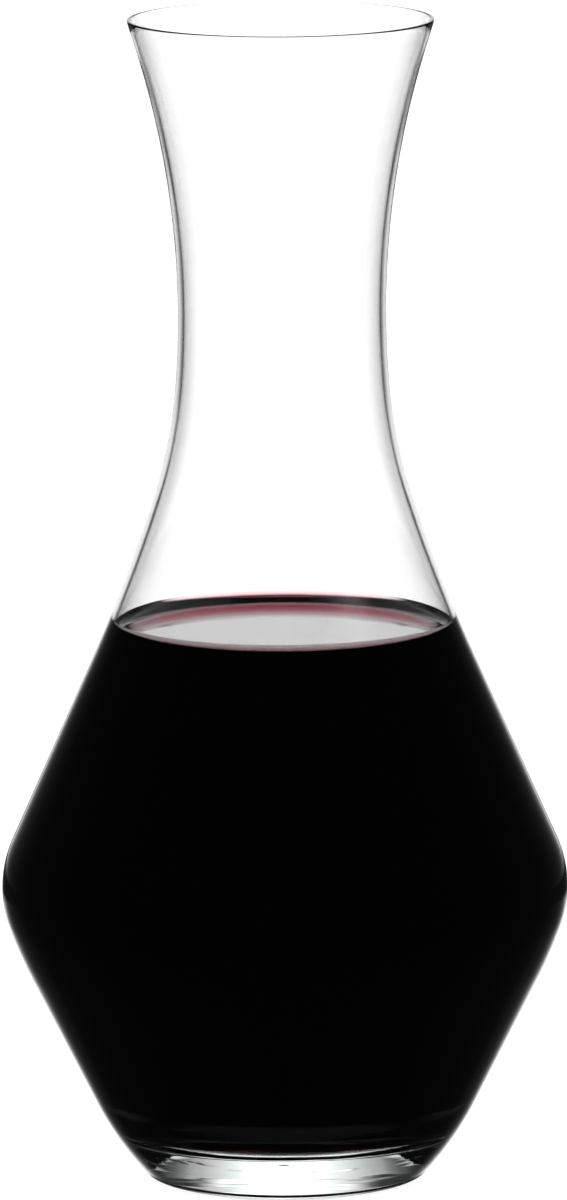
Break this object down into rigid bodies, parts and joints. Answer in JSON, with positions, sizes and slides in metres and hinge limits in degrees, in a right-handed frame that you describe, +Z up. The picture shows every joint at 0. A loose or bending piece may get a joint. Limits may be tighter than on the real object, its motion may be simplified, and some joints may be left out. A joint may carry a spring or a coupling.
{
  "type": "wine decanter",
  "caption": "Clear glass wine decanter with a flared neck, a double-cone belly and a thick solid base, holding a fill of red wine.",
  "frame": {"origin": "centre of the decanter's base, on the table", "axes": "+Z up along the decanter's axis of revolution, from the base towards the lip; X and Y are level and interchangeable"},
  "size_m": [0.1176, 0.1176, 0.242],
  "materials": {
    "clear_glass": "polished",
    "red_wine": "polished"
  },
  "bodies": {
    "vessel": {"glass_vessel": "clear_glass"},
    "wine": {"red_wine": "red_wine"}
  },
  "joints": [
    {"name": "wine_swirl", "type": "hinge", "parent": "vessel", "child": "wine", "pos_m": [0, 0, 0], "axis": [0, 0, 1], "continuous": true}
  ]
}
